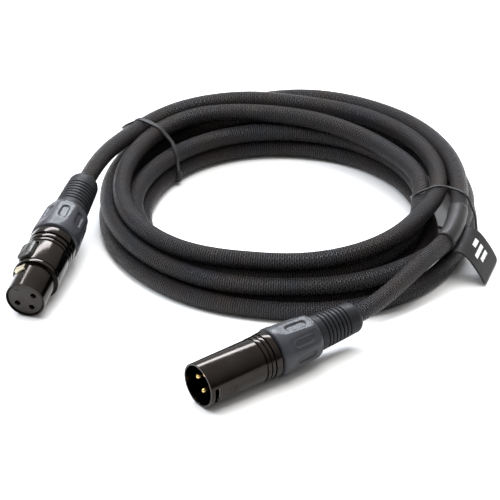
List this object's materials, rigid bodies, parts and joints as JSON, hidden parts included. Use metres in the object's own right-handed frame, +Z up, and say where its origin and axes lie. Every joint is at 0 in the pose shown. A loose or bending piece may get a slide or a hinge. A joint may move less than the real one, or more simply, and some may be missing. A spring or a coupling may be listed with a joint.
{
  "type": "xlr cable coil",
  "caption": "Braided microphone cable tied as a flat coil, with a three-pin plug on one end and a latching socket on the other.",
  "frame": {"origin": "on the floor, under the centre of the bounding box", "axes": "+Z up off the floor; the plug lies to -Y and the socket to -X of the coil, as seen from the front, and +Y runs to the back"},
  "size_m": [0.2044, 0.2222, 0.0249],
  "materials": {
    "braid": "woven nylon braid, charcoal",
    "black_chrome": "black chrome on die-cast zinc, glossy",
    "nut_plastic": "blue-black moulded plastic, satin",
    "relief_rubber": "blue-black rubber, matte",
    "contact_gold": "gold-plated brass",
    "insulator": "brown-grey moulded plastic",
    "latch_steel": "pale plated spring steel",
    "button_plastic": "olive-black moulded plastic, satin",
    "waxed_cord": "thin waxed cord, black",
    "label_film": "charcoal label film, satin",
    "wire": "insulated leads"
  },
  "bodies": {
    "cable_set": {"cable_coil": "braid", "cable_plug_tail": "braid", "cable_socket_tail": "braid", "label_flag": "label_film", "label_sleeve": "label_film", "plug_cable_clamp": "nut_plastic", "plug_insulator": "insulator", "plug_lead_live": "wire", "plug_lead_return": "wire", "plug_lead_shield": "wire", "plug_pin_1": "contact_gold", "plug_pin_2": "contact_gold", "plug_pin_3": "contact_gold", "plug_shell": "black_chrome", "socket_cable_clamp": "nut_plastic", "socket_contact_1": "contact_gold", "socket_contact_2": "contact_gold", "socket_contact_3": "contact_gold", "socket_insulator": "insulator", "socket_lead_live": "wire", "socket_lead_return": "wire", "socket_lead_shield": "wire", "socket_shell": "black_chrome", "tie_left_bight": "waxed_cord", "tie_left_turn_1": "waxed_cord", "tie_left_turn_2": "waxed_cord", "tie_left_twist": "waxed_cord", "tie_right_turn": "waxed_cord"},
    "plug_relief_slider": {"plug_relief": "relief_rubber"},
    "plug_nut_screw": {"plug_nut": "nut_plastic"},
    "socket_relief_slider": {"socket_relief": "relief_rubber"},
    "socket_nut_screw": {"socket_nut": "nut_plastic"},
    "socket_latch": {"socket_latch_lever": "latch_steel", "socket_latch_button": "button_plastic"}
  },
  "joints": [
    {"name": "plug_nut_travel", "type": "slide", "parent": "cable_set", "child": "plug_relief_slider", "axis": [0.8004, 0.5988, 0.027], "range_m": [0, 0.004]},
    {"name": "plug_nut_turn", "type": "hinge", "parent": "plug_relief_slider", "child": "plug_nut_screw", "pos_m": [0.01342, -0.07675, 0.01077], "axis": [0.8004, 0.5988, 0.027], "range_deg": [0, 1440]},
    {"name": "socket_nut_travel", "type": "slide", "parent": "cable_set", "child": "socket_relief_slider", "axis": [0.287, 0.9493, 0.1282], "range_m": [0, 0.004]},
    {"name": "socket_nut_turn", "type": "hinge", "parent": "socket_relief_slider", "child": "socket_nut_screw", "pos_m": [-0.08138, 0.00332, 0.01422], "axis": [0.287, 0.9493, 0.1282], "range_deg": [0, 1440]},
    {"name": "socket_latch_press", "type": "hinge", "parent": "cable_set", "child": "socket_latch", "pos_m": [-0.09097, -0.01473, 0.01721], "axis": [0.7578, -0.3069, 0.5758], "range_deg": [0, 3.5], "stiffness_Nm_per_rad": 0.3}
  ],
  "couplings": [
    {"joint": "plug_nut_turn", "follows": "plug_nut_travel", "rad_per_m": 6283.2},
    {"joint": "socket_nut_turn", "follows": "socket_nut_travel", "rad_per_m": 6283.2}
  ]
}
